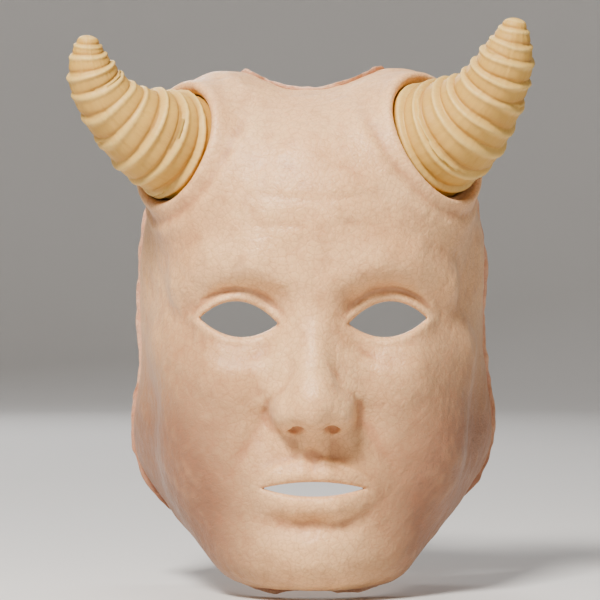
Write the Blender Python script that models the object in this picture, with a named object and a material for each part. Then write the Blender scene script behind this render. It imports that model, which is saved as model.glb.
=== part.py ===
"""Horned face mask: a cast foam-latex face skin that carries two ringed hollow horns.

Each horn sits in a round socket moulded into the forehead. Behind the socket floor a backing plate and
three screws clamp the floor against a plug glued into the horn's mouth.

The frame: +Z is up, the face looks along -Y, and the origin is on the plane of the mask's back rim, at
eye height. "left" and "right" are the wearer's, so left is +X. Lengths below are millimetres.
"""

import math

import bmesh
import bpy
import numpy as np
from mathutils import Vector

MM = 0.001
GAP = 0.3  # clearance between touching pieces

# Face skin
SKIN_THICKNESS = 3.5
RIM_Y = 0.0
POLE = (0.0, 4.0, -18.0)  # the point that the skin's grid is measured from
GRID_RINGS = 26
GRID_SPOKES = 52
GRID_CROWDING = 1.35  # above 1, the rings crowd towards the nose
EYE_SPACING = 64.0
EYE_WIDTH = 34.0
EYE_RISE = 8.4
EYE_FALL = 6.8
MOUTH_WIDTH = 44.0
MOUTH_RISE = 3.0
MOUTH_FALL = 3.2
MOUTH_HEIGHT = -71.0

# Horn fixing, the same on both sides
SOCKET_DEPTH = 5.4
SOCKET_CLEARANCE = 0.8
FLOOR_THICKNESS = 4.0
HORN_WALL = 2.5
ROOT_LENGTH = 9.0  # straight stretch of horn above the socket floor
PLUG_LENGTH = 8.0
PLATE_THICKNESS = 2.0
PLATE_MARGIN = 4.0  # how far the plate's edge lies inside the horn's
SPOT_FACE = 2.0  # how far the flat behind a socket reaches past the plate's edge
SPOT_FACE_TOP = 12.0
SCREW_COUNT = 3
SCREW_CIRCLE = 11.0
SCREW_RADIUS = 1.5
SCREW_HEAD_RADIUS = 3.2
SCREW_HEAD_HEIGHT = 2.2
SCREW_BITE = 6.0  # thread length inside the plug

RING_SIDES = 18
TAPER_AT = (0.0, 0.12, 0.25, 0.5, 0.65, 0.8, 0.87, 0.91, 0.955, 1.0)
TAPER = (1.0, 0.96, 0.88, 0.62, 0.52, 0.42, 0.33, 0.27, 0.18, 0.05)

HORNS = {
    "left": {
        "base": Vector((48.5, -50.0, 77.0)),
        "axis": Vector((0.724, -0.60, 0.338)).normalized(),
        "tip": Vector((85.5, -88.0, 128.5)),
        "tip_axis": Vector((0.10, -0.24, 0.97)).normalized(),
        "radius": 25.5,
    },
    "right": {
        "base": Vector((-55.5, -50.0, 75.0)),
        "axis": Vector((-0.76, -0.60, 0.247)).normalized(),
        "tip": Vector((-95.5, -84.0, 121.5)),
        "tip_axis": Vector((0.16, -0.24, 0.97)).normalized(),
        "radius": 23.5,
    },
}


# ---------------------------------------------------------------- scene helpers


def clear_scene():
    for obj in list(bpy.data.objects):
        bpy.data.objects.remove(obj, do_unlink=True)


def material(name, colour, roughness):
    made = bpy.data.materials.new(name)
    made.use_nodes = True
    shader = made.node_tree.nodes["Principled BSDF"]
    shader.inputs["Base Color"].default_value = (*colour, 1.0)
    shader.inputs["Roughness"].default_value = roughness
    return made


def mesh_object(name, points, faces, finish=None, parent=None):
    """An object from points in millimetres, with its faces turned outwards."""
    mesh = bpy.data.meshes.new(name)
    mesh.from_pydata([tuple(c * MM for c in p) for p in points], [], faces)
    work = bmesh.new()
    work.from_mesh(mesh)
    bmesh.ops.recalc_face_normals(work, faces=work.faces)
    work.to_mesh(mesh)
    work.free()
    if finish:
        mesh.materials.append(finish)
    obj = bpy.data.objects.new(name, mesh)
    bpy.context.scene.collection.objects.link(obj)
    obj.parent = parent
    return obj


def helper(obj):
    """Marks a cutter or a joined shape, which is not a piece of the mask."""
    obj.hide_render = True
    obj.display_type = "WIRE"
    return obj


def boolean(obj, operation, other):
    modifier = obj.modifiers.new(f"{operation.lower()}_{other.name}", "BOOLEAN")
    modifier.operation = operation
    modifier.object = helper(other)


def grid_faces(rows, columns, first=0):
    """Quads between closed rows of points that follow each other in a list."""
    return [
        (
            first + r * columns + c,
            first + r * columns + (c + 1) % columns,
            first + (r + 1) * columns + (c + 1) % columns,
            first + (r + 1) * columns + c,
        )
        for r in range(rows - 1)
        for c in range(columns)
    ]


def turned(name, profile, finish=None, parent=None, sides=32):
    """A solid of revolution about Z through (radius, height) points, closed by a flat face at each end."""
    points = []
    for radius, height in profile:
        for k in range(sides):
            turn = 2 * math.pi * (k + 0.5) / sides
            points.append((radius * math.cos(turn), radius * math.sin(turn), height))
    faces = grid_faces(len(profile), sides)
    faces.append(tuple(range(sides)))
    faces.append(tuple(range(len(points) - sides, len(points))))
    return mesh_object(name, points, faces, finish, parent)


def prism(name, outline, low_y, high_y):
    """A cutter with an (x, z) outline, running along Y."""
    count = len(outline)
    points = [(x, low_y, z) for x, z in outline] + [(x, high_y, z) for x, z in outline]
    faces = [tuple(range(count)), tuple(range(count, 2 * count))]
    faces += [(k, (k + 1) % count, count + (k + 1) % count, count + k) for k in range(count)]
    return mesh_object(name, points, faces)


def ball(name, centre, radii):
    """An ellipsoid cutter."""
    mesh = bpy.data.meshes.new(name)
    work = bmesh.new()
    bmesh.ops.create_uvsphere(work, u_segments=40, v_segments=24, radius=1.0)
    bmesh.ops.scale(work, vec=Vector(radii) * MM, verts=work.verts)
    bmesh.ops.translate(work, vec=Vector(centre) * MM, verts=work.verts)
    work.to_mesh(mesh)
    work.free()
    obj = bpy.data.objects.new(name, mesh)
    bpy.context.scene.collection.objects.link(obj)
    return obj


# ---------------------------------------------------------------- sculpt: distance to smooth forms


def length(v):
    return np.sqrt((v * v).sum(-1))


def ellipsoid(p, centre, radii):
    radii = np.array(radii)
    q = (p - np.array(centre)) / radii
    k0 = length(q)
    k1 = length(q / radii)
    return k0 * (k0 - 1) / np.maximum(k1, 1e-6)


def limb(p, a, b, radius_a, radius_b):
    """A tapered rod with round ends."""
    a, b = np.array(a), np.array(b)
    along = b - a
    t = np.clip(((p - a) @ along) / (along @ along), 0, 1)
    return length(p - a - t[..., None] * along) - (radius_a + (radius_b - radius_a) * t)


def strand(p, knots):
    """Limbs joined end to end through (x, y, z, radius) knots."""
    parts = [limb(p, a[:3], b[:3], a[3], b[3]) for a, b in zip(knots, knots[1:])]
    return np.minimum.reduce(parts)


def add(a, b, blend):
    h = np.maximum(blend - np.abs(a - b), 0) / blend
    return np.minimum(a, b) - h * h * blend * 0.25


def carve(a, b, blend):
    return -add(-a, b, blend)


def head_form(m):
    """Skull, jaw and cheeks. m holds points with x made positive, because the face is symmetric."""
    d = ellipsoid(m, (0, 4, 30), (78, 91, 80))
    d = add(d, ellipsoid(m, (0, 2, -28), (73, 83, 72)), 30)
    d = add(d, limb(m, (56, 4, -54), (25, -54, -92), 23, 23), 30)
    d = add(d, ellipsoid(m, (0, -70, -98), (26, 19, 18)), 18)
    d = add(d, limb(m, (34, -69, -22), (52, -42, -15), 13, 12), 24)
    d = add(d, ellipsoid(m, (38, -54, -52), (26, 22, 32)), 22)
    d = add(d, ellipsoid(m, (0, -44, 48), (58, 44, 42)), 26)
    return carve(d, ellipsoid(m, (92, -52, 22), (15, 22, 24)), 22)


def brow_and_eyes(d, m):
    brow = [(6, -81, 17, 6.5), (24, -82, 25, 7.0), (40, -74, 25, 6.5), (54, -58, 15, 6)]
    d = add(d, strand(m, brow), 12)
    d = carve(d, ellipsoid(m, (31, -92, 2), (19, 13, 12)), 12)
    return add(d, ellipsoid(m, (32.5, -62, -0.5), (19.5, 17, 15.5)), 5)


def nose(d, m):
    d = add(d, limb(m, (0, -79, 12), (0, -97.5, -27), 5.8, 7.2), 10)
    d = add(d, limb(m, (5, -75, 4), (9.5, -84, -30), 5, 7.4), 12)
    d = add(d, ellipsoid(m, (0, -99.5, -35.0), (9.6, 9.2, 8.6)), 7)
    return add(d, ellipsoid(m, (10.8, -91.0, -38.8), (6.4, 10.5, 6.8)), 6)


def mouth_and_chin(d, m):
    upper_lip = [(0, -88.6, -65.6, 4.0), (5, -89.0, -64.8, 4.5), (14, -86.0, -65.8, 4.0)]
    upper_lip += [(21, -81, -68, 3.0), (25.5, -77.0, -70.4, 1.6)]
    lower_lip = [(0, -87.2, -77.6, 5.0), (8, -86.8, -77.4, 5.2), (16, -83.4, -75.8, 4.2)]
    lower_lip += [(22, -79.5, -73.2, 2.8), (25.5, -77.0, -71.4, 1.6)]
    chin_fold = [(0, -96.5, -86, 6.0), (15, -91, -85, 5.0), (24, -83.5, -82, 3.5)]
    d = add(d, ellipsoid(m, (0, -62, -66), (34, 27, 28)), 16)
    d = add(d, strand(m, upper_lip), 5)
    d = add(d, strand(m, lower_lip), 6)
    return carve(d, strand(m, chin_fold), 9)


def horn_boss(d, p, horn):
    """The swelling that the horn grows out of, and the lobe above it."""
    base, axis = np.array(horn["base"]), np.array(horn["axis"])
    radius = horn["radius"]
    d = add(d, limb(p, base - axis * 30, base - axis * 10, radius + 4, radius + 5), 22)
    lobe = (np.sign(base[0]) * 38, -30, 87)
    return add(d, ellipsoid(p, lobe, (24, 28, 22)), 16)


def face_form(p):
    """Signed distance from points to the outside of the face, nearly true close to it."""
    m = p.copy()
    m[..., 0] = np.abs(m[..., 0])
    d = mouth_and_chin(nose(brow_and_eyes(head_form(m), m), m), m)
    for horn in HORNS.values():
        d = horn_boss(d, p, horn)
    return d


# ---------------------------------------------------------------- face skin


def surface_on_rays(start, rays, depth):
    """The outermost point of each ray where the face form is depth millimetres under its surface."""
    reach = np.full(len(rays), 190.0)
    step = 1.5
    searching = np.ones(len(rays), bool)
    while searching.any():
        at = start + rays[searching] * (reach[searching, None] - step)
        outside = face_form(at) + depth > 0
        index = np.flatnonzero(searching)
        reach[index[outside]] -= step
        searching[index[~outside]] = False
    low, high = reach - step, reach.copy()
    for _ in range(12):
        middle = (low + high) / 2
        outside = face_form(start + rays * middle[:, None]) + depth > 0
        high = np.where(outside, middle, high)
        low = np.where(outside, low, middle)
    return start + rays * low[:, None]


def face_skin(finish):
    """A dish of rings and spokes cast from the pole onto the outside and the inside of the skin."""
    start = np.array(POLE)
    rays = [(0.0, -1.0, 0.0)]
    for ring in range(1, GRID_RINGS + 1):
        tilt = 0.5 * math.pi * (ring / GRID_RINGS) ** GRID_CROWDING
        for spoke in range(GRID_SPOKES):
            turn = 2 * math.pi * (spoke + 0.5) / GRID_SPOKES
            rays.append((math.sin(tilt) * math.cos(turn), -math.cos(tilt), math.sin(tilt) * math.sin(turn)))
    rays = np.array(rays)
    outer = surface_on_rays(start, rays, 0.0)
    inner = surface_on_rays(start, rays, SKIN_THICKNESS)
    count = len(rays)
    faces = []
    for layer in (0, count):
        faces += grid_faces(GRID_RINGS, GRID_SPOKES, layer + 1)
        for k in range(GRID_SPOKES):
            faces.append((layer, layer + 1 + k, layer + 1 + (k + 1) % GRID_SPOKES))
    rim = count - GRID_SPOKES
    for k in range(GRID_SPOKES):
        after = (k + 1) % GRID_SPOKES
        faces.append((rim + k, rim + after, count + rim + after, count + rim + k))
    return mesh_object("face_skin", np.concatenate([outer, inner]), faces, finish)


def lens_outline(centre_x, centre_z, half_width, rise, fall, tilt, steps=9):
    """An eye or lip shaped outline: two parabolas between two corners."""
    outline = []
    for k in range(steps):
        u = -1 + 2 * k / steps
        outline.append((u, rise * (1 - u * u)))
    for k in range(steps):
        u = 1 - 2 * k / steps
        outline.append((u, -fall * (1 - u * u)))
    return [(centre_x + u * half_width, centre_z + v + tilt * u * half_width) for u, v in outline]


def cut_face_openings(skin):
    for side, sign in (("left", 1), ("right", -1)):
        half = EYE_WIDTH / 2
        outline = lens_outline(sign * EYE_SPACING / 2, 0.0, half, EYE_RISE, EYE_FALL, sign * 0.07)
        boolean(skin, "DIFFERENCE", prism(f"eye_cutter_{side}", outline, -115.0, -45.0))
    lips = lens_outline(0.0, MOUTH_HEIGHT, MOUTH_WIDTH / 2, MOUTH_RISE, MOUTH_FALL, 0.0)
    boolean(skin, "DIFFERENCE", prism("mouth_cutter", lips, -115.0, -60.0))


def trim_rim(skin):
    """A flat back rim, scooped away over the crown and under the chin."""
    behind = prism("rim_cutter", [(-130, -160), (130, -160), (130, 160), (-130, 160)], RIM_Y, RIM_Y + 60)
    boolean(skin, "DIFFERENCE", behind)
    boolean(skin, "DIFFERENCE", ball("crown_cutter", (0, 12, 116), (42, 64, 30)))
    boolean(skin, "DIFFERENCE", ball("neck_cutter", (0, 16, -128), (56, 78, 62)))


# ---------------------------------------------------------------- horns


def horn_mount(side, horn):
    """An empty on the socket floor, with its Z along the horn's root."""
    mount = bpy.data.objects.new(f"horn_mount_{side}", None)
    bpy.context.scene.collection.objects.link(mount)
    mount.location = horn["base"] * MM
    mount.rotation_euler = horn["axis"].to_track_quat("Z", "Y").to_euler()
    bpy.context.view_layer.update()
    return mount


def centre_line(horn, mount, count=60):
    """Points along the horn in the mount's frame: a straight root, then one smooth bend to the tip."""
    to_local = mount.matrix_world.inverted()
    tip = (to_local @ (horn["tip"] * MM)) / MM
    tip_axis = to_local.to_3x3() @ horn["tip_axis"]
    start = Vector((0, 0, ROOT_LENGTH))
    lead = (tip - start).length * 0.38
    leave, arrive = start + Vector((0, 0, lead)), tip - tip_axis * lead
    line = [Vector((0, 0, GAP))]
    for k in range(count):
        t = k / (count - 1)
        line.append(
            start * (1 - t) ** 3 + leave * 3 * (1 - t) ** 2 * t + arrive * 3 * (1 - t) * t * t + tip * t**3
        )
    return line


class Sweep:
    """The horn's centre line, measured by length, with a frame that doesn't twist."""

    def __init__(self, line):
        self.line = np.array(line)
        steps = length(np.diff(self.line, axis=0))
        self.at = np.concatenate([[0], np.cumsum(steps)])
        self.total = self.at[-1]
        tangents = np.gradient(self.line, self.at, axis=0)
        self.tangents = tangents / length(tangents)[:, None]
        side = np.array([1.0, 0.0, 0.0])
        self.sides = []
        for tangent in self.tangents:
            side = side - tangent * (side @ tangent)
            side = side / length(side)
            self.sides.append(side)
        self.sides = np.array(self.sides)

    def place(self, distance):
        def mix(values):
            return np.array([np.interp(distance, self.at, values[:, k]) for k in range(3)])

        return mix(self.line), mix(self.tangents), mix(self.sides)

    def circle(self, distance, radius, sides=RING_SIDES):
        centre, tangent, side = self.place(distance)
        other = np.cross(tangent, side)
        turns = [2 * math.pi * k / sides for k in range(sides)]
        return [centre + radius * (math.cos(t) * side + math.sin(t) * other) for t in turns]


def taper(share, radius):
    return radius * float(np.interp(share, TAPER_AT, TAPER))


def growth_rings(sweep, radius):
    """Where each growth ring starts, closer together as the horn narrows."""
    starts = [0.0]
    while starts[-1] < sweep.total - 3.0:
        starts.append(starts[-1] + min(8.8, 2.0 + 0.42 * taper(starts[-1] / sweep.total, radius)))
    return starts


def outer_stations(sweep, radius):
    """(distance, radius) down the outside: each ring swells to a lip, then steps in."""
    stations = []
    starts = growth_rings(sweep, radius)
    for start, end in zip(starts, starts[1:]):
        for share, swell in ((0.08, -0.045), (0.50, -0.01), (0.86, 0.045)):
            distance = start + (end - start) * share
            if distance < sweep.total - 1.0:
                stations.append((distance, taper(distance / sweep.total, radius) * (1 + swell)))
    stations[0] = (0.0, stations[0][1])
    return stations


def closed_tube(sweep, stations, start_cap, end_point):
    """Points and faces of rings along the sweep, closed by a point at the far end."""
    points = []
    for distance, radius in stations:
        points += sweep.circle(distance, radius)
    faces = grid_faces(len(stations), RING_SIDES)
    last = len(points)
    points.append(sweep.place(end_point)[0])
    row = last - RING_SIDES
    faces += [(row + k, row + (k + 1) % RING_SIDES, last) for k in range(RING_SIDES)]
    if start_cap:
        faces.append(tuple(range(RING_SIDES)))
    return points, faces


def cavity_stations(sweep, radius, slack):
    """(distance, radius) down the horn's hollow, less the slack that a filling needs."""
    stations = []
    for share in np.linspace(0.0, 0.88, 11):
        stations.append((share * sweep.total, taper(share, radius) * 0.95 - HORN_WALL - slack))
    return stations


def horn_shell(side, horn, sweep, mount, finish):
    outer, outer_faces = closed_tube(sweep, outer_stations(sweep, horn["radius"]), False, sweep.total)
    hollow = cavity_stations(sweep, horn["radius"], 0.0)
    inner, inner_faces = closed_tube(sweep, hollow, False, sweep.total * 0.91)
    shift = len(outer)
    faces = outer_faces + [tuple(i + shift for i in face) for face in inner_faces]
    for k in range(RING_SIDES):
        after = (k + 1) % RING_SIDES
        faces.append((k, after, shift + after, shift + k))
    return mesh_object(f"horn_shell_{side}", outer + inner, faces, finish, mount)


def horn_core(side, horn, sweep, mount, finish):
    """Light rigid foam that fills the horn above its plug."""
    floor = PLUG_LENGTH + 2 * GAP
    stations = [s for s in cavity_stations(sweep, horn["radius"], GAP + 0.1) if s[0] > floor + 2]
    first = np.interp(floor, *zip(*cavity_stations(sweep, horn["radius"], GAP + 0.1)))
    stations.insert(0, (floor, float(first)))
    points, faces = closed_tube(sweep, stations, True, sweep.total * 0.895)
    return mesh_object(f"horn_core_{side}", points, faces, finish, mount)


def screw_places():
    for number in range(SCREW_COUNT):
        turn = 2 * math.pi * number / SCREW_COUNT + math.pi / 2
        yield number + 1, Vector((SCREW_CIRCLE * math.cos(turn), SCREW_CIRCLE * math.sin(turn), 0))


def drill(obj, side, low, high, radius, mount):
    """Screw holes through a piece, between two heights in the mount's frame."""
    for number, place in screw_places():
        profile = [(radius, low), (radius, high)]
        cutter = turned(f"drill_{obj.name}_{side}_{number}", profile, parent=mount, sides=16)
        cutter.location = place * MM
        boolean(obj, "DIFFERENCE", cutter)


def horn_plug(side, horn, sweep, mount, finish):
    """A hardwood disc glued into the horn's mouth, with pilot holes for the screws."""
    distances, radii = zip(*cavity_stations(sweep, horn["radius"], GAP + 0.1))
    wide = float(np.interp(0.0, distances, radii))
    narrow = float(np.interp(PLUG_LENGTH, distances, radii))
    low, high = GAP, GAP + PLUG_LENGTH
    profile = [(wide, low), (narrow, high)]
    plug = turned(f"horn_plug_{side}", profile, finish, mount)
    drill(plug, side, low - 1, SCREW_BITE + GAP + 0.4, SCREW_RADIUS + GAP, mount)
    return plug


def backing_plate(side, horn, mount, finish):
    """A stiff plastic disc under the socket floor, with a softened edge."""
    top = -FLOOR_THICKNESS - GAP
    bottom = top - PLATE_THICKNESS
    radius = horn["radius"] - PLATE_MARGIN
    edge = 0.6
    profile = [
        (radius - edge, bottom),
        (radius, bottom + edge),
        (radius, top - edge),
        (radius - edge, top),
    ]
    plate = turned(f"backing_plate_{side}", profile, finish, mount, sides=32)
    drill(plate, side, bottom - 1, top + 1, SCREW_RADIUS + GAP, mount)
    return plate


def plate_screw(side, number, place, mount, finish):
    """A pan-head screw with a cross slot, driven from inside the mask."""
    seat = -FLOOR_THICKNESS - PLATE_THICKNESS - 2 * GAP
    head = seat - SCREW_HEAD_HEIGHT
    profile = [
        (SCREW_HEAD_RADIUS * 0.72, head),
        (SCREW_HEAD_RADIUS, head + SCREW_HEAD_HEIGHT * 0.45),
        (SCREW_HEAD_RADIUS, seat),
        (SCREW_RADIUS, seat),
        (SCREW_RADIUS, SCREW_BITE - 1.5),
        (SCREW_RADIUS * 0.3, SCREW_BITE),
    ]
    screw = turned(f"plate_screw_{side}_{number}", profile, finish, mount, sides=16)
    screw.location = place * MM
    slot, depth = 0.45, 1.2
    arms = ((2.1, slot), (slot, 2.1))
    for arm, (half_x, half_y) in enumerate(arms):
        low, high = head - 1, head + depth
        corners = [(x, y, z) for x in (-half_x, half_x) for y in (-half_y, half_y) for z in (low, high)]
        sides = [(0, 1, 3, 2), (4, 5, 7, 6), (0, 1, 5, 4), (2, 3, 7, 6), (0, 2, 6, 4), (1, 3, 7, 5)]
        cutter = mesh_object(f"slot_{side}_{number}_{arm}", corners, sides, parent=mount)
        cutter.location = place * MM
        boolean(screw, "DIFFERENCE", cutter)
    return screw


def mould_socket(skin, side, horn, mount):
    """Adds the socket's lip and floor to the skin, then hollows it and spot-faces the floor's back."""
    radius = horn["radius"]
    lip = [
        (radius + 3.5, -FLOOR_THICKNESS),
        (radius + 4.6, 0),
        (radius + 4.4, SOCKET_DEPTH - 2.8),
        (radius + 3.4, SOCKET_DEPTH - 0.8),
        (radius + 2.0, SOCKET_DEPTH),
    ]
    boolean(skin, "UNION", turned(f"socket_{side}", lip, parent=mount, sides=36))
    recess = radius + SOCKET_CLEARANCE
    hollow = [(recess, 0), (recess, 40)]
    boolean(skin, "DIFFERENCE", turned(f"recess_{side}", hollow, parent=mount, sides=36))
    face = radius - PLATE_MARGIN + SPOT_FACE
    back = [(face, -SPOT_FACE_TOP), (face, -FLOOR_THICKNESS)]
    boolean(skin, "DIFFERENCE", turned(f"spot_face_{side}", back, parent=mount, sides=36))
    drill(skin, side, -FLOOR_THICKNESS - 2, 2, SCREW_RADIUS + GAP, mount)


def main():
    clear_scene()
    latex = material("foam_latex", (0.75, 0.57, 0.45), 0.55)
    resin = material("horn_resin", (0.63, 0.45, 0.25), 0.45)
    foam = material("rigid_foam", (0.80, 0.74, 0.58), 0.90)
    wood = material("hardwood", (0.47, 0.30, 0.16), 0.60)
    plastic = material("backing_plastic", (0.10, 0.10, 0.11), 0.45)
    steel = material("zinc_steel", (0.62, 0.62, 0.60), 0.30)
    steel.node_tree.nodes["Principled BSDF"].inputs["Metallic"].default_value = 1.0

    skin = face_skin(latex)
    for side, horn in HORNS.items():
        mount = horn_mount(side, horn)
        sweep = Sweep(centre_line(horn, mount))
        mould_socket(skin, side, horn, mount)
        horn_shell(side, horn, sweep, mount, resin)
        horn_core(side, horn, sweep, mount, foam)
        horn_plug(side, horn, sweep, mount, wood)
        backing_plate(side, horn, mount, plastic)
        for number, place in screw_places():
            plate_screw(side, number, place, mount, steel)
    cut_face_openings(skin)
    trim_rim(skin)
    for obj in bpy.data.objects:
        if obj.type == "MESH" and not obj.hide_render:
            obj.data.shade_smooth()
            obj.data.set_sharp_from_angle(angle=math.radians(40))


main()
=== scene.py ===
"""Looks of the horned face mask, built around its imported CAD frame.

The CAD's skin and horn shells are replaced by sculpted ones of the same size, with a ragged film of latex
round the rim. The backing plates, screws, plugs and foam cores stay, with better materials. The sculpture is
a distance field in millimetres, turned into a mesh. "left" and "right" are the wearer's, so left is +X.
"""

import math

import bmesh
import bpy
import numpy as np
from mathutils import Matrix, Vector


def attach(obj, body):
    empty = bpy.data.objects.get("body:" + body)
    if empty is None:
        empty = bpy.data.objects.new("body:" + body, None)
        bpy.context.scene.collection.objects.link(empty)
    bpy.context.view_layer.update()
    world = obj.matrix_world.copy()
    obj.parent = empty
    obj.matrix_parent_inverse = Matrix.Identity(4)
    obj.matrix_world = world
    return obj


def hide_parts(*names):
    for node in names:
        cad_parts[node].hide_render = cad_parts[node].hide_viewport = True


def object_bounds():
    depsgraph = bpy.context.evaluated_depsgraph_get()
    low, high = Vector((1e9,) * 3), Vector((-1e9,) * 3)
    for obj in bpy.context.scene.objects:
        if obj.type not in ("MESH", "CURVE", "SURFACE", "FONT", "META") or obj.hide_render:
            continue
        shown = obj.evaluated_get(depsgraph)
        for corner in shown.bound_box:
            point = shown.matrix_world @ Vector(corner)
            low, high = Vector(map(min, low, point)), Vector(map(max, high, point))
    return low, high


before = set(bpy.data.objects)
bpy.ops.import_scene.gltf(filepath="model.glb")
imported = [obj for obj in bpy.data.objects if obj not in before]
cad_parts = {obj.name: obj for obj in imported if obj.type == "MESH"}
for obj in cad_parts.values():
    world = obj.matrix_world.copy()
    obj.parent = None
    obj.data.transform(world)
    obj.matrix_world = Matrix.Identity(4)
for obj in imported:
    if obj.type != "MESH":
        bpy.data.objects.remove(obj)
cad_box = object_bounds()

MM = 0.001
GRID = 1.2  # the sculpture's cell size
COARSE = 5  # cells in one step of the coarse search

SKIN = 4.1  # a little over the CAD's 3.5, because the folds bite into it

# Sizes that repeat the CAD's
SOCKET_DEPTH = 5.4
SOCKET_CLEARANCE = 0.8
FLOOR_THICKNESS = 4.0
SPOT_FACE_TOP = 12.0
SPOT_FACE = 2.0  # how far the flat behind a socket reaches past the backing plate's edge
PLATE_MARGIN = 4.0
HORN_WALL = 2.5
ROOT_LENGTH = 9.0
GAP = 0.3
TAPER_AT = (0.0, 0.12, 0.25, 0.5, 0.65, 0.8, 0.87, 0.91, 0.955, 1.0)
TAPER = (1.0, 0.96, 0.88, 0.62, 0.52, 0.42, 0.33, 0.28, 0.21, 0.15)

# Horn details that only the visual has
TIP_ROUND = 2.0  # length of a horn's rounded end
ROW_GAP = 0.45  # distance between a horn's rows of points
RING_LONGEST = 9.0
RING_LIP_AT = 0.80  # where a growth ring's lip lies, as a share of the ring
RING_LIP_WIDTH = 0.15
RING_TILT = 0.42  # how far the rings lean and waver

CROWN_CUT = ((0, 12, 116), (42, 64, 30))  # centre and radii
NECK_CUT = ((0, 16, -128), (56, 78, 62))
EYE = {"x": 32.0, "z": 0.0, "half": 17.0, "rise": 8.4, "fall": 6.8, "tilt": 0.07}
MOUTH = {"x": 0.0, "z": -71.0, "half": 22.0, "rise": 3.0, "fall": 3.2, "tilt": 0.0}


def unit(v):
    v = np.array(v, float)
    return v / np.sqrt(v @ v)


HORNS = {
    "left": {
        "base": np.array([48.5, -50.0, 77.0]),
        "axis": unit([0.724, -0.60, 0.338]),
        "tip": np.array([85.5, -88.0, 128.5]),
        "tip_axis": unit([0.10, -0.24, 0.97]),
        "radius": 25.5,
        "seed": 4,
    },
    "right": {
        "base": np.array([-55.5, -50.0, 75.0]),
        "axis": unit([-0.76, -0.60, 0.247]),
        "tip": np.array([-95.5, -84.0, 121.5]),
        "tip_axis": unit([0.16, -0.24, 0.97]),
        "radius": 23.5,
        "seed": 9,
    },
}


# ---------------------------------------------------------------- distance fields, in millimetres


def length(v):
    return np.sqrt((v * v).sum(-1))


def ellipsoid(p, centre, radii):
    radii = np.array(radii)
    q = (p - np.array(centre)) / radii
    k0 = length(q)
    k1 = length(q / radii)
    return k0 * (k0 - 1) / np.maximum(k1, 1e-6)


def limb(p, a, b, radius_a, radius_b):
    """A tapered rod with round ends."""
    a, b = np.array(a), np.array(b)
    along = b - a
    t = np.clip(((p - a) @ along) / (along @ along), 0, 1)
    return length(p - a - t[..., None] * along) - (radius_a + (radius_b - radius_a) * t)


def strand(p, knots):
    """Limbs joined end to end through (x, y, z, radius) knots."""
    parts = [limb(p, a[:3], b[:3], a[3], b[3]) for a, b in zip(knots, knots[1:])]
    return np.minimum.reduce(parts)


def add(a, b, blend):
    h = np.maximum(blend - np.abs(a - b), 0) / blend
    return np.minimum(a, b) - h * h * blend * 0.25


def carve(a, b, blend):
    return -add(-a, b, blend)


def rounded(knots, steps=4):
    """A smooth curve through the knots."""
    knots = np.array(knots, float)
    ends = np.concatenate([[2 * knots[0] - knots[1]], knots, [2 * knots[-1] - knots[-2]]])
    curve = []
    for a, b, c, d in zip(ends, ends[1:], ends[2:], ends[3:]):
        for t in np.arange(steps) / steps:
            bend = 2 * a - 5 * b + 4 * c - d + t * (3 * (b - c) + d - a)
            curve.append(b + 0.5 * t * (c - a + t * bend))
    curve.append(knots[-1])
    return np.array(curve)


def stroke(p, knots, width):
    """How strongly a soft line through (x, z, strength) knots, drawn on the face's front, acts at points."""
    knots = rounded(knots)
    low, high = knots[:, :2].min(0) - 3 * width, knots[:, :2].max(0) + 3 * width
    q = p[:, [0, 2]]
    near = np.flatnonzero(((q > low) & (q < high)).all(1) & (p[:, 1] < -35))
    q = q[near]
    nearest = np.full(len(q), 1e9)
    level = np.zeros(len(q))
    for a, b in zip(knots, knots[1:]):
        along = b[:2] - a[:2]
        t = np.clip(((q - a[:2]) @ along) / (along @ along), 0, 1)
        gap = length(q - a[:2] - t[:, None] * along)
        closer = gap < nearest
        nearest = np.where(closer, gap, nearest)
        level = np.where(closer, a[2] + (b[2] - a[2]) * t, level)
    depth = np.zeros(len(p))
    depth[near] = level * np.exp(-((nearest / width) ** 2))
    return depth


def ripple(p, wavelength, seed, waves=10):
    """Smooth random waves, from about -1 to 1."""
    rng = np.random.default_rng(seed)
    total = np.zeros(len(p))
    for _ in range(waves):
        direction = unit(rng.normal(size=3))
        reach = wavelength * rng.uniform(0.75, 1.4)
        total += np.sin(p @ direction * (2 * math.pi / reach) + rng.uniform(0, 2 * math.pi))
    return total / math.sqrt(waves)


# ---------------------------------------------------------------- the face


def head_form(m):
    """Skull, jaw and cheeks. m holds points with x made positive, because the face is symmetric."""
    d = ellipsoid(m, (0, 4, 30), (78, 91, 80))
    d = add(d, ellipsoid(m, (0, 2, -28), (73, 83, 72)), 30)
    d = add(d, limb(m, (56, 4, -54), (25, -54, -92), 23, 23), 30)
    d = add(d, ellipsoid(m, (0, -70, -98), (26, 19, 18)), 18)
    d = add(d, limb(m, (34, -69, -22), (52, -42, -15), 13, 12), 24)
    d = add(d, ellipsoid(m, (38, -54, -52), (26, 22, 32)), 22)
    d = add(d, ellipsoid(m, (0, -44, 48), (58, 44, 42)), 26)
    return carve(d, ellipsoid(m, (92, -52, 22), (15, 22, 24)), 22)


def lens(p, shape):
    """About how far points lie outside an eye-shaped outline, seen from the front."""
    x = p[:, 0] - shape["x"]
    z = p[:, 2] - shape["z"] - shape["tilt"] * x
    across = x / shape["half"]
    upper = shape["rise"] * (1 - across**2)
    lower = -shape["fall"] * (1 - across**2)
    steep = np.sqrt(1 + (2 * shape["rise"] * across / shape["half"]) ** 2)
    return np.maximum(z - upper, lower - z) / steep


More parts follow.
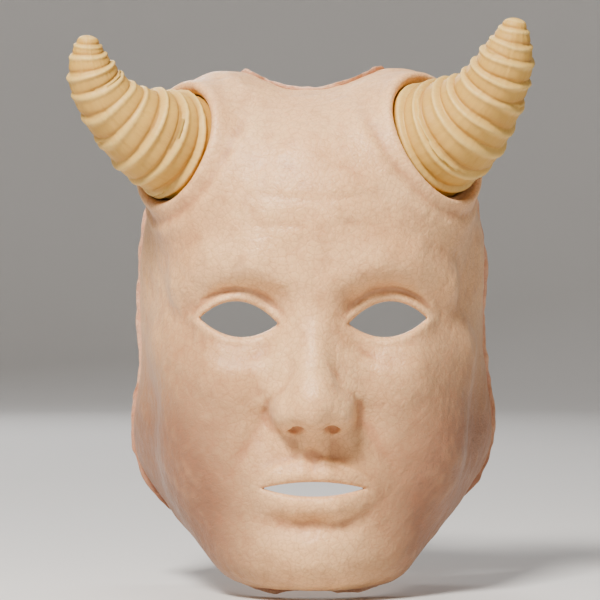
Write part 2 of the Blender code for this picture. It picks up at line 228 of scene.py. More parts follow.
def brow_and_eyes(d, m):
    brow = [(6, -81, 17, 6.5), (24, -82, 25, 7.0), (40, -74, 25, 6.5), (54, -58, 15, 6)]
    d = add(d, strand(m, brow), 12)
    d = carve(d, ellipsoid(m, (31, -92, 2), (19, 13, 12)), 12)
    d = add(d, ellipsoid(m, (32.5, -62, -0.5), (19.5, 17, 15.5)), 5)
    lid_fold = [(13, 3, 0.2), (19, 9, 0.9), (27, 13.2, 1), (36, 13.6, 1), (45, 9.5, 0.9), (52, 2, 0.2)]
    d = d + 1.4 * stroke(m, lid_fold, 1.9)
    under_eye = [(14, -8, 0.2), (20, -13, 0.9), (30, -16.5, 1), (40, -15.5, 0.6), (49, -10, 0.2)]
    d = d + 1.1 * stroke(m, under_eye, 3.2)
    bead = np.exp(-(((lens(m, EYE) - 1.8) / 1.5) ** 2)) * (m[:, 1] < -60)
    for height, reach in ((40.0, 30.0), (52.0, 34.0), (64.5, 28.0)):
        forehead_line = [(0, height - 1, 0.8), (reach * 0.6, height + 1.5, 1), (reach, height, 0)]
        d = d + 0.45 * stroke(m, forehead_line, 2.2)
    return d - 0.7 * bead


def nose(d, m):
    d = add(d, limb(m, (0, -79, 12), (0, -97.5, -27), 5.8, 7.2), 10)
    d = add(d, limb(m, (5, -75, 4), (9.5, -84, -30), 5, 7.4), 12)
    d = add(d, ellipsoid(m, (0, -99.5, -35.0), (9.6, 9.2, 8.6)), 9)
    d = add(d, ellipsoid(m, (10.8, -91.0, -38.8), (6.4, 10.5, 6.8)), 9)
    d = add(d, limb(m, (0, -101, -40.5), (0, -89, -46.5), 3.6, 4.6), 4)
    wing_fold = [(8.5, -28, 0.1), (14, -29.5, 0.6), (19.0, -35.0, 1), (19.6, -42, 0.9), (17, -47.5, 0.3)]
    d = d + 0.9 * stroke(m, wing_fold, 2.2)
    return carve(d, limb(m, (6.4, -96.5, -45.0), (8.6, -89.5, -46.0), 2.3, 3.2), 2.0)


def mouth_and_chin(d, m):
    upper_lip = [(0, -88.6, -65.6, 4.0), (5, -89.0, -64.8, 4.5), (14, -86.0, -65.8, 4.0)]
    upper_lip += [(21, -81, -68, 3.0), (25.5, -77.0, -70.4, 1.6)]
    lower_lip = [(0, -87.2, -77.6, 5.0), (8, -86.8, -77.4, 5.2), (16, -83.4, -75.8, 4.2)]
    lower_lip += [(22, -79.5, -73.2, 2.8), (25.5, -77.0, -71.4, 1.6)]
    d = add(d, ellipsoid(m, (0, -62, -66), (34, 27, 28)), 16)
    d = add(d, strand(m, upper_lip), 5)
    d = add(d, strand(m, lower_lip), 6)
    lip_line = [(0, -60.6, 0.8), (4.8, -59.2, 1), (12, -61.0, 1), (19, -64.6, 0.8), (25.5, -69.5, 0.2)]
    d = d - 0.5 * stroke(m, lip_line, 1.2)
    d = d + 0.7 * stroke(m, [(0, -50.5, 0.2), (0, -56.0, 1), (0, -59, 0.4)], 2.8)
    d = d - 0.35 * stroke(m, [(4.6, -50.5, 0.2), (5.4, -57, 1)], 1.9)
    d = d + 1.8 * stroke(m, [(0, -87.5, 1), (12, -87, 0.9), (22, -83, 0.3)], 5.0)
    smile_fold = [(19, -39, 0.3), (25, -48, 1), (31, -58, 0.9), (35, -68, 0.4), (36, -76, 0)]
    return d + 1.2 * stroke(m, smile_fold, 4.0)


def horn_place(p, horn):
    """(height over the socket floor, distance from the horn's root axis) of points."""
    q = p - horn["base"]
    height = q @ horn["axis"]
    return height, np.sqrt(np.maximum((q * q).sum(-1) - height**2, 0))


def horn_boss(d, p, horn):
    """The swelling that the horn grows out of, the lobe above it, and soft rolls of skin round its seat."""
    base, axis, radius = horn["base"], horn["axis"], horn["radius"]
    d = add(d, limb(p, base - axis * 30, base - axis * 10, radius + 4, radius + 5), 22)
    d = add(d, ellipsoid(p, (np.sign(base[0]) * 38, -30, 87), (24, 28, 22)), 16)
    height, away = horn_place(p, horn)
    near = np.exp(-((height / 16) ** 2))
    d = d - 0.9 * near * np.exp(-(((away - radius - 4.5) / 3.0) ** 2))
    d = d + 0.8 * near * np.exp(-(((away - radius - 10) / 2.6) ** 2))
    return d - 0.5 * near * np.exp(-(((away - radius - 15) / 3.0) ** 2))


def face_form(p):
    """Signed distance from points to the outside of the face, nearly true close to it."""
    m = p.copy()
    m[:, 0] = np.sqrt(m[:, 0] ** 2 + 0.25)
    d = mouth_and_chin(nose(brow_and_eyes(head_form(m), m), m), m)
    for horn in HORNS.values():
        d = horn_boss(d, p, horn)
    return d + 0.35 * ripple(p, 34, 1) + 0.10 * ripple(p, 11, 2) + 0.05 * ripple(p, 4.6, 3)


# ---------------------------------------------------------------- the skin as a shell


def socket(d, p, horn):
    """Adds the socket's lip and floor to the skin, hollows it, and flattens the floor's back."""
    radius = horn["radius"]
    height, away = horn_place(p, horn)
    cup = np.maximum(away - radius - 3.6, np.abs(height - 0.4) - FLOOR_THICKNESS - 0.4)
    bead_top = SOCKET_DEPTH - 2.2
    bead = np.sqrt((away - radius - 3.0) ** 2 + (height - bead_top) ** 2) - 2.3
    d = add(add(d, cup, 5.0), bead, 3.0)
    flare = np.maximum(height - SOCKET_DEPTH + 0.8, 0) * 0.7
    recess = np.maximum((away - radius - SOCKET_CLEARANCE - flare) * 0.7, -height)
    d = carve(d, recess, 1.8)
    flat = radius - PLATE_MARGIN + SPOT_FACE
    back = np.maximum(np.maximum(away - flat, height + FLOOR_THICKNESS), -height - SPOT_FACE_TOP)
    return carve(d, back, 1.2)


def mask_shell(p):
    outside = face_form(p)
    d = -add(-outside, outside + SKIN, 1.0)
    # The nose is solid between its nostrils.
    d = add(d, ellipsoid(p, (0, -89.5, -46), (3.5, 4.5, 3.5)), 1.0)
    for horn in HORNS.values():
        d = socket(d, p, horn)
    m = p.copy()
    m[:, 0] = np.abs(m[:, 0])
    in_front = p[:, 1] + 40
    d = carve(d, np.maximum(lens(m, EYE), in_front), 1.6)
    d = carve(d, np.maximum(lens(p, MOUTH), in_front), 1.6)
    ragged = 0.5 * ripple(p, 16, 5) + 0.3 * ripple(p, 5.5, 6)
    d = carve(d, ellipsoid(p, *CROWN_CUT) + ragged, 2.2)
    d = carve(d, ellipsoid(p, *NECK_CUT) + ragged, 2.2)
    return carve(d, -p[:, 1] - 0.4 + 0.4 * ragged, 1.2)


# ---------------------------------------------------------------- from field to mesh


def sampled(field, points, chunk=60000):
    return np.concatenate([field(points[k : k + chunk]) for k in range(0, len(points), chunk)])


def grid_values(field, low, shape, step):
    """Field values on a grid, worked out near the surface only. Elsewhere each is a coarse neighbour's."""
    coarse_shape = [math.ceil(n / COARSE) + 1 for n in shape]
    index = np.stack(np.meshgrid(*[np.arange(n) for n in coarse_shape], indexing="ij"), -1)
    points = low + (index.reshape(-1, 3) + 0.5) * (step * COARSE)
    coarse = sampled(field, points).reshape(coarse_shape)
    values = coarse.repeat(COARSE, 0).repeat(COARSE, 1).repeat(COARSE, 2)[: shape[0], : shape[1], : shape[2]]
    values = np.ascontiguousarray(values)
    close = np.argwhere(np.abs(values) < step * COARSE * 1.6)
    values[tuple(close.T)] = sampled(field, low + close * step)
    return values


def surface_nets(values, low, step):
    """Points and quads of the surface where values change sign."""
    inside = values < 0
    corners = [(i, j, k) for i in (0, 1) for j in (0, 1) for k in (0, 1)]
    size = [n - 1 for n in values.shape]

    def corner(array, c):
        return array[c[0] : c[0] + size[0], c[1] : c[1] + size[1], c[2] : c[2] + size[2]]

    count = sum(corner(inside, c).astype(np.int8) for c in corners)
    cells = np.argwhere((count > 0) & (count < 8))
    number = np.full(size, -1)
    number[tuple(cells.T)] = np.arange(len(cells))
    total = np.zeros((len(cells), 3))
    crossings = np.zeros(len(cells))
    for a in corners:
        for axis in range(3):
            if a[axis]:
                continue
            b = list(a)
            b[axis] = 1
            va = values[tuple((cells + a).T)]
            vb = values[tuple((cells + b).T)]
            cut = (va < 0) != (vb < 0)
            t = np.where(cut, va / np.where(cut, va - vb, 1), 0)
            place = np.array(a, float) + t[:, None] * np.eye(3)[axis]
            total += np.where(cut[:, None], place, 0)
            crossings += cut
    points = low + (cells + total / crossings[:, None]) * step
    quads = []
    for axis in range(3):
        u, v = [(1, 2), (2, 0), (0, 1)][axis]
        ahead = np.take(inside, range(1, inside.shape[axis]), axis)
        here = np.take(inside, range(0, inside.shape[axis] - 1), axis)
        edges = np.argwhere(here != ahead)
        edges = edges[(edges[:, u] > 0) & (edges[:, v] > 0)]
        edges = edges[(edges[:, u] < size[u]) & (edges[:, v] < size[v])]
        ring = []
        for du, dv in ((1, 1), (0, 1), (0, 0), (1, 0)):
            cell = edges.copy()
            cell[:, u] -= du
            cell[:, v] -= dv
            ring.append(number[tuple(cell.T)])
        ring = np.stack(ring, 1)
        outward = here[tuple(edges.T)]
        quads.append(np.where(outward[:, None], ring, ring[:, ::-1]))
    return points, np.concatenate(quads)


def unpinched(points, quads):
    """Splits the points where two sheets touch, so that every edge joins only two faces."""
    count = len(points)
    ends = np.sort(np.concatenate([quads[:, [k, (k + 1) % 4]] for k in range(4)]), 1)
    first, uses = np.unique(ends[:, 0] * count + ends[:, 1], return_index=True, return_counts=True)[1:]
    touched = np.unique(ends[first[uses > 2]]).tolist()
    faces_at = {point: [] for point in touched}
    users = {}
    for face in np.flatnonzero(np.isin(quads, touched).any(1)).tolist():
        ring = quads[face].tolist()
        for a, b in zip(ring, ring[1:] + ring[:1]):
            users.setdefault((min(a, b), max(a, b)), []).append((face, a < b))
            if a in faces_at:
                faces_at[a].append(face)
    partner = {}
    for (a, b), faces in users.items():
        if len(faces) > 2:
            faces = in_turn(faces, points[a], points[b], points[quads[[face for face, _ in faces]]].mean(1))
        for (one, _), (other, _) in zip(faces[::2], faces[1::2]):
            partner[one, a, b] = other
            partner[other, a, b] = one

    split, copies = quads.copy(), []
    for point, rest in faces_at.items():
        fans = []
        while rest:
            fan = [rest.pop()]
            for face in fan:
                ring = quads[face].tolist()
                k = ring.index(point)
                for beside in (ring[k - 1], ring[(k + 1) % 4]):
                    other = partner[face, min(point, beside), max(point, beside)]
                    if other in rest:
                        rest.remove(other)
                        fan.append(other)
            fans.append(fan)
        for fan in fans[1:]:
            for face in fan:
                split[face][quads[face] == point] = count + len(copies)
            copies.append(point)
    return np.concatenate([points, points[copies]]), split


def in_turn(faces, a, b, middles):
    """Faces round the edge from a to b by angle, so that two and two bound the same open side."""
    axis = (b - a) / length(b - a)
    side = unit(np.cross(axis, [0.3, 0.5, 0.8]))
    angles = np.arctan2((middles - a) @ np.cross(axis, side), (middles - a) @ side)
    faces = [faces[k] for k in np.argsort(angles)]
    return faces if faces[0][1] else faces[1:] + faces[:1]


def gradient(field, points, reach):
    slopes = [
        sampled(field, points + step) - sampled(field, points - step) for step in np.eye(3) * reach
    ]
    return np.stack(slopes, -1) / (2 * reach)


def settle(field, points, step):
    """Moves points onto the true surface."""
    for _ in range(2):
        value = sampled(field, points)
        slope = gradient(field, points, 0.25)
        shift = slope * (value / np.maximum((slope * slope).sum(-1), 0.3))[:, None]
        size = np.maximum(length(shift), 1e-9)
        points = points - shift * np.minimum(1, 0.5 * step / size)[:, None]
    return points


def evened(points, quads, rounds, share=0.5):
    """Slides points towards their neighbours' middle."""
    ends = np.concatenate([quads[:, [k, (k + 1) % 4]] for k in range(4)])
    for _ in range(rounds):
        total = np.zeros_like(points)
        for axis in range(3):
            total[:, axis] = np.bincount(ends[:, 0], points[ends[:, 1], axis], len(points))
            total[:, axis] += np.bincount(ends[:, 1], points[ends[:, 0], axis], len(points))
        weight = np.bincount(ends.ravel(), minlength=len(points))
        points = points + (total / weight[:, None] - points) * share
    return points


def mesh_piece(name, points, faces, finishes):
    """A piece from points in millimetres. It rides on the root and takes the finishes it is given."""
    mesh = bpy.data.meshes.new(name)
    mesh.from_pydata((np.array(points) * MM).tolist(), [], [list(face) for face in faces])
    for finish in finishes:
        mesh.materials.append(finish)
    mesh.shade_smooth()
    obj = bpy.data.objects.new(name, mesh)
    bpy.context.scene.collection.objects.link(obj)
    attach(obj, "root")
    return obj


# ---------------------------------------------------------------- face skin and its edge film


def face_skin(outside, inside):
    """The sculpted skin, with a rougher finish on the side that the mould's core shaped."""
    step = GRID
    low = np.array([-92.0, -116.0, -124.0])
    shape = [math.ceil(n / step) for n in (184.0, 122.0, 246.0)]
    values = grid_values(mask_shell, low, shape, step)
    points, quads = unpinched(*surface_nets(values, low, step))
    points = evened(points, quads, 2, 0.4)
    points = settle(mask_shell, points, step)
    depth = sampled(face_form, points)
    skin = mesh_piece("face_skin_sculpted", points, quads, [outside, inside])
    within = depth[quads].mean(1) < -0.6 * SKIN
    skin.data.polygons.foreach_set("material_index", within.astype(np.int32))
    # The hollow values drive painted shade in the creases and a painted highlight on the crests.
    paint(skin, "hollow", hollowness(points, quads))
    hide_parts("face_skin")
    return skin


def hollowness(points, quads):
    """From -1 on crests to 1 in creases, at the scale of wrinkles."""
    smooth = evened(points, quads, 12, 0.6)
    a, b = points[quads[:, 2]] - points[quads[:, 0]], points[quads[:, 3]] - points[quads[:, 1]]
    across = np.cross(a, b)
    normal = np.zeros_like(points)
    for k in range(4):
        for axis in range(3):
            normal[:, axis] += np.bincount(quads[:, k], across[:, axis], len(points))
    normal /= np.maximum(length(normal), 1e-9)[:, None]
    bend = ((smooth - points) * normal).sum(-1)
    return np.clip(bend / 0.5, -1, 1)


def paint(obj, name, values):
    """Stores numbers or vectors on the points, for materials to read."""
    values = np.asarray(values, np.float32)
    if values.ndim == 1:
        obj.data.attributes.new(name, "FLOAT", "POINT").data.foreach_set("value", values)
    else:
        obj.data.attributes.new(name, "FLOAT_VECTOR", "POINT").data.foreach_set("vector", values.ravel())


def crossing(place, low, high):
    """Points on the face form's surface, between place(low) inside it and place(high) outside it."""
    for _ in range(22):
        middle = (low + high) / 2
        outside = face_form(place(middle)) > 0
        high = np.where(outside, middle, high)
        low = np.where(outside, low, middle)
    return place(low)


def side_rim(turn):
    """The back rim's outer edge, and the way its film leaves it: straight out."""
    ray = np.stack([np.cos(turn), 0 * turn, np.sin(turn)], -1)
    centre = np.array([0.0, -1.2, -4.0])
    edge = crossing(lambda reach: centre + ray * reach[:, None], turn * 0 + 40.0, turn * 0 + 150.0)
    return edge, ray


def cut_rim(cut, turn, way):
    """The outer edge of the neck's or the crown's cut-out. way is -1 down or 1 up, where its film points."""
    centre, radii = np.array(cut[0], float), np.array(cut[1], float)
    flat = np.stack([np.sin(turn), -np.cos(turn), 0 * turn], -1)

    def place(rise):
        around = flat * np.cos(rise)[:, None]
        around[:, 2] = -way * np.sin(rise)
        return centre + around * radii

    edge = crossing(place, turn * 0 + math.radians(85), turn * 0)
    ray = flat * 0.35 + np.array([0, 0, way])
    return edge, ray / length(ray)[:, None]


def edge_film(number, edge, ray, width_bias, seed, finish):
    """The thin ragged film that the mould's parting line left along an edge."""
    count = len(edge)
    run = np.concatenate([[0], np.cumsum(length(np.diff(edge, axis=0)))])
    flat = np.stack([run, 0 * run, 0 * run], -1)
    width = width_bias + 0.55 * ripple(flat, 26, seed) + 0.28 * ripple(flat, 10, seed + 1)
    width = np.clip(width + 0.08 * ripple(flat, 3.6, seed + 2), 0.2, 3.2)
    width = width * np.clip(np.minimum(run, run[-1] - run) / 5, 0, 1) + 0.12
    along = np.gradient(edge, run, axis=0)
    out_of_plane = np.cross(along, ray)
    out_of_plane /= length(out_of_plane)[:, None]
    curl = 0.5 * ripple(flat, 14, seed + 3) + 0.25 * ripple(flat, 4, seed + 4)
    under, over = [], []
    for share, thick in ((-1.0, 0.5), (0.0, 0.45), (0.4, 0.34), (0.75, 0.24), (1.0, 0.08)):
        reach = np.where(share < 0, -0.9, width * share)[:, None]
        middle = edge + ray * reach + out_of_plane * (curl * max(share, 0) ** 2 * width / 2)[:, None]
        under.append(middle - out_of_plane * thick / 2)
        over.append(middle + out_of_plane * thick / 2)
    loop = under + over[::-1]
    faces = lathe_faces(count, len(loop))
    film = mesh_piece(f"edge_film_{number}", np.stack(loop, 1).reshape(-1, 3), faces, [finish])
    face_outwards(film)
    return film


def edge_films(finish):
    right, left = np.linspace(-0.98, 0.98, 420), np.linspace(math.pi - 0.98, math.pi + 0.98, 420)
    edge_film("left", *side_rim(right), 1.3, 51, finish)
    edge_film("right", *side_rim(left), 1.3, 61, finish)
    edge_film("chin", *cut_rim(NECK_CUT, np.linspace(-1.05, 1.05, 420), -1), 1.7, 71, finish)
    edge_film("crown", *cut_rim(CROWN_CUT, np.linspace(-0.9, 0.9, 260), 1), 1.0, 81, finish)


def face_outwards(obj):
    work = bmesh.new()
    work.from_mesh(obj.data)
    bmesh.ops.recalc_face_normals(work, faces=work.faces)
    work.to_mesh(obj.data)
    work.free()


# ---------------------------------------------------------------- horns


def horn_line(horn, count=90):
    """The horn's middle line and, along it, lengths, directions and a side that doesn't twist."""
    start = horn["base"] + horn["axis"] * ROOT_LENGTH
    lead = length(horn["tip"] - start) * 0.38
    leave, arrive = start + horn["axis"] * lead, horn["tip"] - horn["tip_axis"] * lead
    t = np.linspace(0, 1, count)[:, None]
    curve = start * (1 - t) ** 3 + leave * 3 * (1 - t) ** 2 * t
    curve = curve + arrive * 3 * (1 - t) * t**2 + horn["tip"] * t**3
    line = np.concatenate([[horn["base"] + horn["axis"] * GAP], curve])
    at = np.concatenate([[0], np.cumsum(length(np.diff(line, axis=0)))])
    ahead = np.gradient(line, at, axis=0)
    ahead /= length(ahead)[:, None]
    side = np.array([0.0, 0.0, 1.0])
    sides = []
    for direction in ahead:
        side = side - direction * (side @ direction)
        side = side / length(side)
        sides.append(side)
    return line, at, ahead, np.array(sides)


def along_line(at, values, distance):
    return np.stack([np.interp(distance, at, values[:, k]) for k in range(3)], -1)


def growth_rings(total, radius, rng):
    """Where each growth ring ends, closer together as the horn narrows."""
    ends = [0.0]
    while ends[-1] < total - 2.0:
        here = radius * np.interp(ends[-1] / total, TAPER_AT, TAPER)
        ends.append(ends[-1] + min(RING_LONGEST, 0.7 + 0.54 * here) * rng.uniform(0.86, 1.14))
    return np.array(ends)


def ringed_horn(side, horn, finish):
    """A hollow horn like stacked cups: each growth ring flares to a lip, painted bright as a highlight, then
    steps in.
    """
    rng = np.random.default_rng(horn["seed"])
    line, at, ahead, sides = horn_line(horn)
    total, radius = at[-1], horn["radius"]
    spokes = 144
    turn = np.arange(spokes) * (2 * math.pi / spokes)
    tip_rows = total - 1.2 * np.linspace(1, 0, 6) ** 2
    distance = np.concatenate([np.arange(0, total - 1.2, ROW_GAP), tip_rows])
    ends = growth_rings(total, radius, rng)
    tilt = rng.normal(0, RING_TILT, (len(ends), 4))
    rise = rng.uniform(0.75, 1.25, len(ends))
    grid_s, grid_t = np.meshgrid(distance, turn, indexing="ij")
    size = radius * np.interp(grid_s / total, TAPER_AT, TAPER)
    ring = np.clip(np.searchsorted(ends, grid_s, side="right") - 1, 0, len(ends) - 2)
    for _ in range(2):  # the rings tilt and waver, so which ring a point is in depends on its turn
        a, b, c, e = (tilt[ring, k] for k in range(4))
        sway = a * np.cos(grid_t) + b * np.sin(grid_t)
        sway = sway + 0.6 * (c * np.cos(2 * grid_t) + e * np.sin(3 * grid_t))
        moved = np.clip(grid_s + sway * np.clip(size / 12, 0.2, 1.2) * np.clip(grid_s / 6, 0, 1), 0, total)
        ring = np.clip(np.searchsorted(ends, moved, side="right") - 1, 0, len(ends) - 2)
    phase = np.clip((moved - ends[ring]) / (ends[ring + 1] - ends[ring]), 0, 1)
    lip = np.exp(-(((phase - RING_LIP_AT) / RING_LIP_WIDTH) ** 2))
    valley = np.exp(-((phase / 0.10) ** 2)) + np.exp(-(((phase - 1) / 0.07) ** 2))
    swell = (0.85 * lip + 0.25 * np.sin(math.pi * phase) - 0.55 * valley) * rise[ring]
    height = np.minimum(1.5, 0.5 + 0.055 * size) * np.clip((total - grid_s) / 4, 0, 1)
    knots = np.stack([np.cos(grid_t) * 22, np.sin(grid_t) * 22, grid_s * 0.10], -1).reshape(-1, 3)
    streaks = (ripple(knots, 3.0, 41) + 0.6 * ripple(knots, 1.4, 42)).reshape(grid_s.shape)
    lumps = np.stack([np.cos(grid_t) * 14, np.sin(grid_t) * 14, grid_s], -1).reshape(-1, 3)
    lumps = ripple(lumps, 13, 43 + horn["seed"]).reshape(grid_s.shape)
    reach = size + height * swell + 0.07 * streaks * np.clip(size / 6, 0, 1) + 0.012 * size * lumps
    reach *= np.sqrt(np.clip(1 - (np.maximum(grid_s - total + TIP_ROUND, 0) / TIP_ROUND) ** 2, 0, 1))
    reach[-1] = 0.02
    centre = along_line(at, line, distance)[:, None]
    first = along_line(at, sides, distance)[:, None]
    second = np.cross(along_line(at, ahead, distance), along_line(at, sides, distance))[:, None]
    wall = centre + reach[..., None] * (np.cos(turn)[:, None] * first + np.sin(turn)[:, None] * second)

    bore_s = np.linspace(0, 0.88, 12) * total
    bore = radius * np.interp(bore_s / total, TAPER_AT, TAPER) * 0.95 - HORN_WALL
    bore_s, bore = np.append(bore_s, 0.91 * total), np.append(bore, 0.02)
    centre = along_line(at, line, bore_s)[:, None]
    first = along_line(at, sides, bore_s)[:, None]
    second = np.cross(along_line(at, ahead, bore_s), along_line(at, sides, bore_s))[:, None]
    hollow = centre + bore[:, None, None] * (np.cos(turn)[:, None] * first + np.sin(turn)[:, None] * second)

    rows = np.concatenate([hollow[::-1], wall])
    faces = lathe_faces(len(rows), spokes)
    obj = mesh_piece(f"horn_ringed_{side}", rows.reshape(-1, 3), faces, [finish])
    face_outwards(obj)
    blank = np.zeros(hollow.shape[:2])
    # The lip values run from the lips, which get a painted highlight, to negative values in the valleys,
    # which get painted shade.
    paint(obj, "lip", np.concatenate([blank, lip - 0.7 * np.exp(-((phase / 0.22) ** 2))]).ravel())
    grain = np.stack([np.cos(grid_t) * size, np.sin(grid_t) * size, grid_s * 0.12], -1) * MM
    paint(obj, "grain", np.concatenate([np.zeros(hollow.shape), grain]).reshape(-1, 3))
    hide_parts(f"horn_shell_{side}")
    return obj


def lathe_faces(rows, spokes):
    """Quads between rows of spokes, closed at both ends."""
    faces = []
    for row in range(0, (rows - 1) * spokes, spokes):
        for k in range(spokes):
            after = (k + 1) % spokes
            faces.append((row + k, row + after, row + spokes + after, row + spokes + k))
    faces.append(tuple(range(spokes)))
    faces.append(tuple(range((rows - 1) * spokes, rows * spokes)))
    return faces


# ---------------------------------------------------------------- materials


class Finish:
    """A Principled material, with short calls for the nodes that colour and texture it."""

    def __init__(self, name, **sockets):
        self.material = bpy.data.materials.new(name)
        self.material.use_nodes = True
        self.tree = self.material.node_tree
        self.shader = self.tree.nodes["Principled BSDF"]
        for socket, value in sockets.items():
            self.shader.inputs[socket.replace("_", " ")].default_value = value
        self.place = self.node("ShaderNodeTexCoord").outputs["Object"]

    def node(self, kind, **links):
        made = self.tree.nodes.new(kind)
        for socket, value in links.items():
            self.put(made.inputs[socket.replace("_", " ")], value)
        return made

    def put(self, socket, value):
        if isinstance(value, bpy.types.NodeSocket):
            self.tree.links.new(value, socket)
        else:
            socket.default_value = value

    def noise(self, scale, detail=3.0, roughness=0.55, at=None):
        made = self.node("ShaderNodeTexNoise", Vector=at or self.place, Scale=scale, Detail=detail)
        made.inputs["Roughness"].default_value = roughness
        return made.outputs["Fac"]

    def cells(self, scale, feature="F1"):
        made = self.node("ShaderNodeTexVoronoi", Vector=self.place, Scale=scale)
        made.feature = feature
        return made.outputs["Distance"]

    def attribute(self, name, output="Fac"):
        made = self.node("ShaderNodeAttribute")
        made.attribute_name = name
        return made.outputs[output]

    def ranged(self, value, low, high, out_low=0.0, out_high=1.0):
        made = self.node("ShaderNodeMapRange", Value=value)
        made.inputs["From Min"].default_value = low
        made.inputs["From Max"].default_value = high
        made.inputs["To Min"].default_value = out_low
        made.inputs["To Max"].default_value = out_high
        return made.outputs["Result"]

    def maths(self, operation, a, b=0.0):
        made = self.node("ShaderNodeMath")
        made.operation = operation
        self.put(made.inputs[0], a)
        self.put(made.inputs[1], b)
        return made.outputs[0]

    def mix(self, share, a, b):
        made = self.node("ShaderNodeMix")
        made.data_type = "RGBA"
        self.put(made.inputs["Factor"], share)
        self.put(made.inputs[6], (*a, 1.0) if isinstance(a, tuple) else a)
        self.put(made.inputs[7], (*b, 1.0) if isinstance(b, tuple) else b)
        return made.outputs[2]

    def colour(self, socket):
        self.put(self.shader.inputs["Base Color"], socket)

    def rough(self, socket):
        self.put(self.shader.inputs["Roughness"], socket)

    def bumps(self, *layers):
        """Layers of (height, millimetres, strength), one on another."""
        normal = None
        for height, distance, strength in layers:
            made = self.node("ShaderNodeBump", Height=height, Distance=distance * MM, Strength=strength)
            if normal:
                self.put(made.inputs["Normal"], normal)
            normal = made.outputs["Normal"]
        self.put(self.shader.inputs["Normal"], normal)


def skin_finish(name, pale, warm, deep, pores, shade):
    """Foam latex, pale and blotchy with pores and fine lines. Painted shade browns the jaw's sides, creases
    and lines; crests get a painted highlight.
    """
    skin = Finish(name, Subsurface_Weight=0.10, Subsurface_Scale=0.003, Specular_IOR_Level=0.45)
    skin.shader.inputs["Subsurface Radius"].default_value = (1.0, 0.42, 0.28)
    skin.shader.inputs["Sheen Weight"].default_value = 0.08
    place = skin.node("ShaderNodeSeparateXYZ", Vector=skin.place)
    # Painted shade: the colour turns darker and browner towards the face's sides and lower down, where the
    # light falls off. shade sets how strong it is.
    painted_side_shade = skin.ranged(skin.maths("ABSOLUTE", place.outputs["X"]), 0.012, 0.058, 0, shade)
    painted_low_shade = skin.ranged(place.outputs["Z"], 0.01, -0.075, 0.1, 1.6)
    lined = skin.cells(300, "DISTANCE_TO_EDGE")
    colour = skin.mix(skin.ranged(skin.noise(24, 4), 0.35, 0.68), pale, warm)
    colour = skin.mix(skin.maths("MULTIPLY", painted_side_shade, painted_low_shade), colour, (0.33, 0.17, 0.10))
    colour = skin.mix(skin.ranged(skin.noise(130, 3), 0.5, 0.8, 0, 0.4), colour, deep)
    # Painted shade: the skin is darker in its creases.
    creases = skin.ranged(skin.attribute("hollow"), 0.05, 0.8, 0, 0.55)
    colour = skin.mix(creases, colour, deep)
    # Painted highlight: the crests are lighter than the pale colour.
    crests = skin.ranged(skin.attribute("hollow"), -0.1, -0.8, 0, 0.35)
    colour = skin.mix(crests, colour, tuple(min(1.0, c * 1.1) for c in pale))
    # Painted shade: the fine lines' grooves are darker.
    colour = skin.mix(skin.ranged(lined, 0.10, 0.0, 0, 0.24), colour, deep)
    skin.colour(skin.mix(skin.ranged(skin.noise(900, 3), 0.5, 0.8, 0, 0.35), colour, deep))
    skin.rough(skin.ranged(skin.noise(60, 4), 0.3, 0.7, 0.36, 0.58))
    skin.bumps(
        (skin.noise(160, 5, 0.6), 1.3, 0.5),
        (lined, 0.5, pores),
        (skin.cells(750, "DISTANCE_TO_EDGE"), 0.3, pores),
        (skin.noise(1700, 2), 0.12, pores),
    )
    return skin.material


def horn_finish():
    """Cream resin with fine streaks that run along the horn, lips lighter as a painted highlight and valleys
    darker and pinker as painted shade.
    """
    horn = Finish("horn_cream", Subsurface_Weight=0.15, Subsurface_Scale=0.003, Specular_IOR_Level=0.4)
    horn.shader.inputs["Subsurface Radius"].default_value = (1.0, 0.6, 0.3)
    grain = horn.attribute("grain", "Vector")
    streaks = horn.noise(620, 4, 0.65, grain)
    lip = horn.attribute("lip")
    body = horn.mix(horn.ranged(horn.noise(45, 3), 0.3, 0.7), (0.65, 0.41, 0.126), (0.585, 0.355, 0.104))
    # Painted highlight: the lips are lighter.
    body = horn.mix(horn.ranged(lip, 0.05, 0.95, 0, 0.6), body, (0.80, 0.58, 0.235))
    # Painted shade: the valleys are darker and browner.
    body = horn.mix(horn.ranged(lip, 0.0, -0.6, 0, 0.5), body, (0.50, 0.25, 0.08))
    body = horn.mix(horn.ranged(streaks, 0.5, 0.8, 0, 0.28), body, (0.44, 0.24, 0.09))
    horn.colour(body)
    horn.rough(horn.ranged(streaks, 0.3, 0.7, 0.42, 0.60))
    horn.bumps((streaks, 0.5, 0.45), (horn.noise(900, 3), 0.15, 0.4))
    return horn.material


def plain_finish(name, colour, dark, roughness, scale, metal=0.0, stretch=(1, 1, 1)):
    """A simple worn material: two close colours, uneven gloss and a little grain."""
    made = Finish(name, Metallic=metal)
    at = made.node("ShaderNodeMapping", Vector=made.place, Scale=stretch).outputs["Vector"]
    grain = made.noise(scale, 5, 0.6, at)
    made.colour(made.mix(made.ranged(grain, 0.35, 0.7), colour, dark))
    made.rough(made.ranged(made.noise(scale * 0.3, 3), 0.3, 0.7, roughness - 0.08, roughness + 0.1))
    made.bumps((grain, 0.2, 0.3))
    return made.material


# ---------------------------------------------------------------- stage


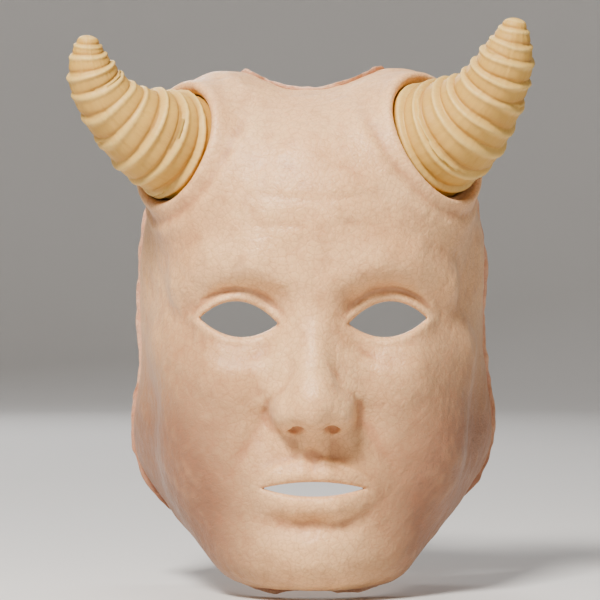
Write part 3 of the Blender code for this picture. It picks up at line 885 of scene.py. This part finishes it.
def backdrop():
    """A pale floor that curves up into a low round wall."""
    low = cad_box[0][2] - 0.004
    profile = [(0.5, low), (1.9, low)]
    for k in range(1, 13):
        turn = math.radians(90 * k / 12)
        profile.append((1.9 + 0.8 * math.sin(turn), low + 0.8 * (1 - math.cos(turn))))
    profile.append((2.7, 1.5))
    spokes = 72
    points = [
        (r * math.cos(2 * math.pi * k / spokes), r * math.sin(2 * math.pi * k / spokes), z)
        for r, z in profile
        for k in range(spokes)
    ]
    mesh = bpy.data.meshes.new("backdrop")
    mesh.from_pydata(points, [], lathe_faces(len(profile), spokes)[:-1])
    floor = bpy.data.objects.new("backdrop", mesh)
    bpy.context.scene.collection.objects.link(floor)
    face_outwards(floor)
    mesh.shade_smooth()
    paper = Finish("pale_paper", Roughness=0.9)
    paper.colour(paper.mix(paper.noise(3, 2), (0.70, 0.68, 0.66), (0.73, 0.71, 0.69)))
    mesh.materials.append(paper.material)


def area_light(name, place, target, size, watts, colour):
    lamp = bpy.data.lights.new(name, "AREA")
    lamp.size = size
    lamp.energy = watts
    lamp.color = colour
    obj = bpy.data.objects.new(name, lamp)
    obj.location = place
    obj.rotation_euler = (Vector(target) - Vector(place)).to_track_quat("-Z", "Y").to_euler()
    bpy.context.scene.collection.objects.link(obj)


def lights_and_camera():
    area_light("key", (-0.42, -1.0, 1.05), (0, -0.04, 0.0), 0.36, 32, (1.0, 0.98, 0.94))
    area_light("fill", (1.2, -1.0, 0.25), (0, -0.04, 0.0), 1.0, 2.2, (0.97, 0.98, 1.0))
    area_light("rear", (-0.5, 1.5, 0.9), (0, 0, 0), 0.9, 10, (0.97, 0.98, 1.0))
    area_light("top", (0.1, 0.3, 1.3), (0, 0, 0.05), 0.6, 3, (1.0, 0.98, 0.96))
    world = bpy.data.worlds.new("soft_room")
    world.use_nodes = True
    world.node_tree.nodes["Background"].inputs["Color"].default_value = (0.93, 0.93, 0.95, 1)
    world.node_tree.nodes["Background"].inputs["Strength"].default_value = 0.12
    bpy.context.scene.world = world
    bpy.context.scene.view_settings.look = "AgX - Medium High Contrast"
    camera = bpy.data.cameras.new("camera")
    camera.sensor_width = 36.0
    distance, field_of_view = 1.2, 0.2742  # metres, and metres across the frame at the rim's plane
    camera.lens = 36.0 * distance / field_of_view
    obj = bpy.data.objects.new("camera", camera)
    obj.location = (-0.0057, -distance, 0.009)
    obj.rotation_euler = (math.pi / 2, 0, 0)
    bpy.context.scene.collection.objects.link(obj)
    bpy.context.scene.camera = obj


def main():
    pale, warm, deep = (0.85, 0.55, 0.305), (0.77, 0.445, 0.23), (0.44, 0.19, 0.10)
    outside = skin_finish("latex_outside", pale, warm, deep, 0.5, 0.9)
    pale, warm, deep = (0.79, 0.54, 0.34), (0.72, 0.45, 0.27), (0.45, 0.22, 0.13)
    inside = skin_finish("latex_inside", pale, warm, deep, 0.7, 0.2)
    pale, warm, deep = (0.78, 0.52, 0.36), (0.66, 0.38, 0.27), (0.42, 0.17, 0.13)
    film = skin_finish("latex_film", pale, warm, deep, 0.3, 0.5)
    face_skin(outside, inside)
    edge_films(film)
    cream = horn_finish()
    for side, horn in HORNS.items():
        ringed_horn(side, horn, cream)
    plates = plain_finish("black_sheet_plastic", (0.030, 0.030, 0.033), (0.05, 0.05, 0.052), 0.45, 900)
    steel = plain_finish("zinc_plate", (0.62, 0.62, 0.60), (0.50, 0.50, 0.48), 0.32, 1200, 1.0)
    wood = plain_finish("plug_wood", (0.47, 0.30, 0.16), (0.36, 0.21, 0.10), 0.6, 300, 0.0, (1, 1, 0.1))
    foam = plain_finish("core_foam", (0.80, 0.74, 0.58), (0.72, 0.65, 0.48), 0.9, 900)
    looks = {"backing_plate": plates, "plate_screw": steel, "horn_plug": wood, "horn_core": foam}
    for name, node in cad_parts.items():
        for start, finish in looks.items():
            if name.startswith(start):
                node.data.materials.clear()
                node.data.materials.append(finish)
    backdrop()
    lights_and_camera()
    bpy.context.view_layer.update()


main()
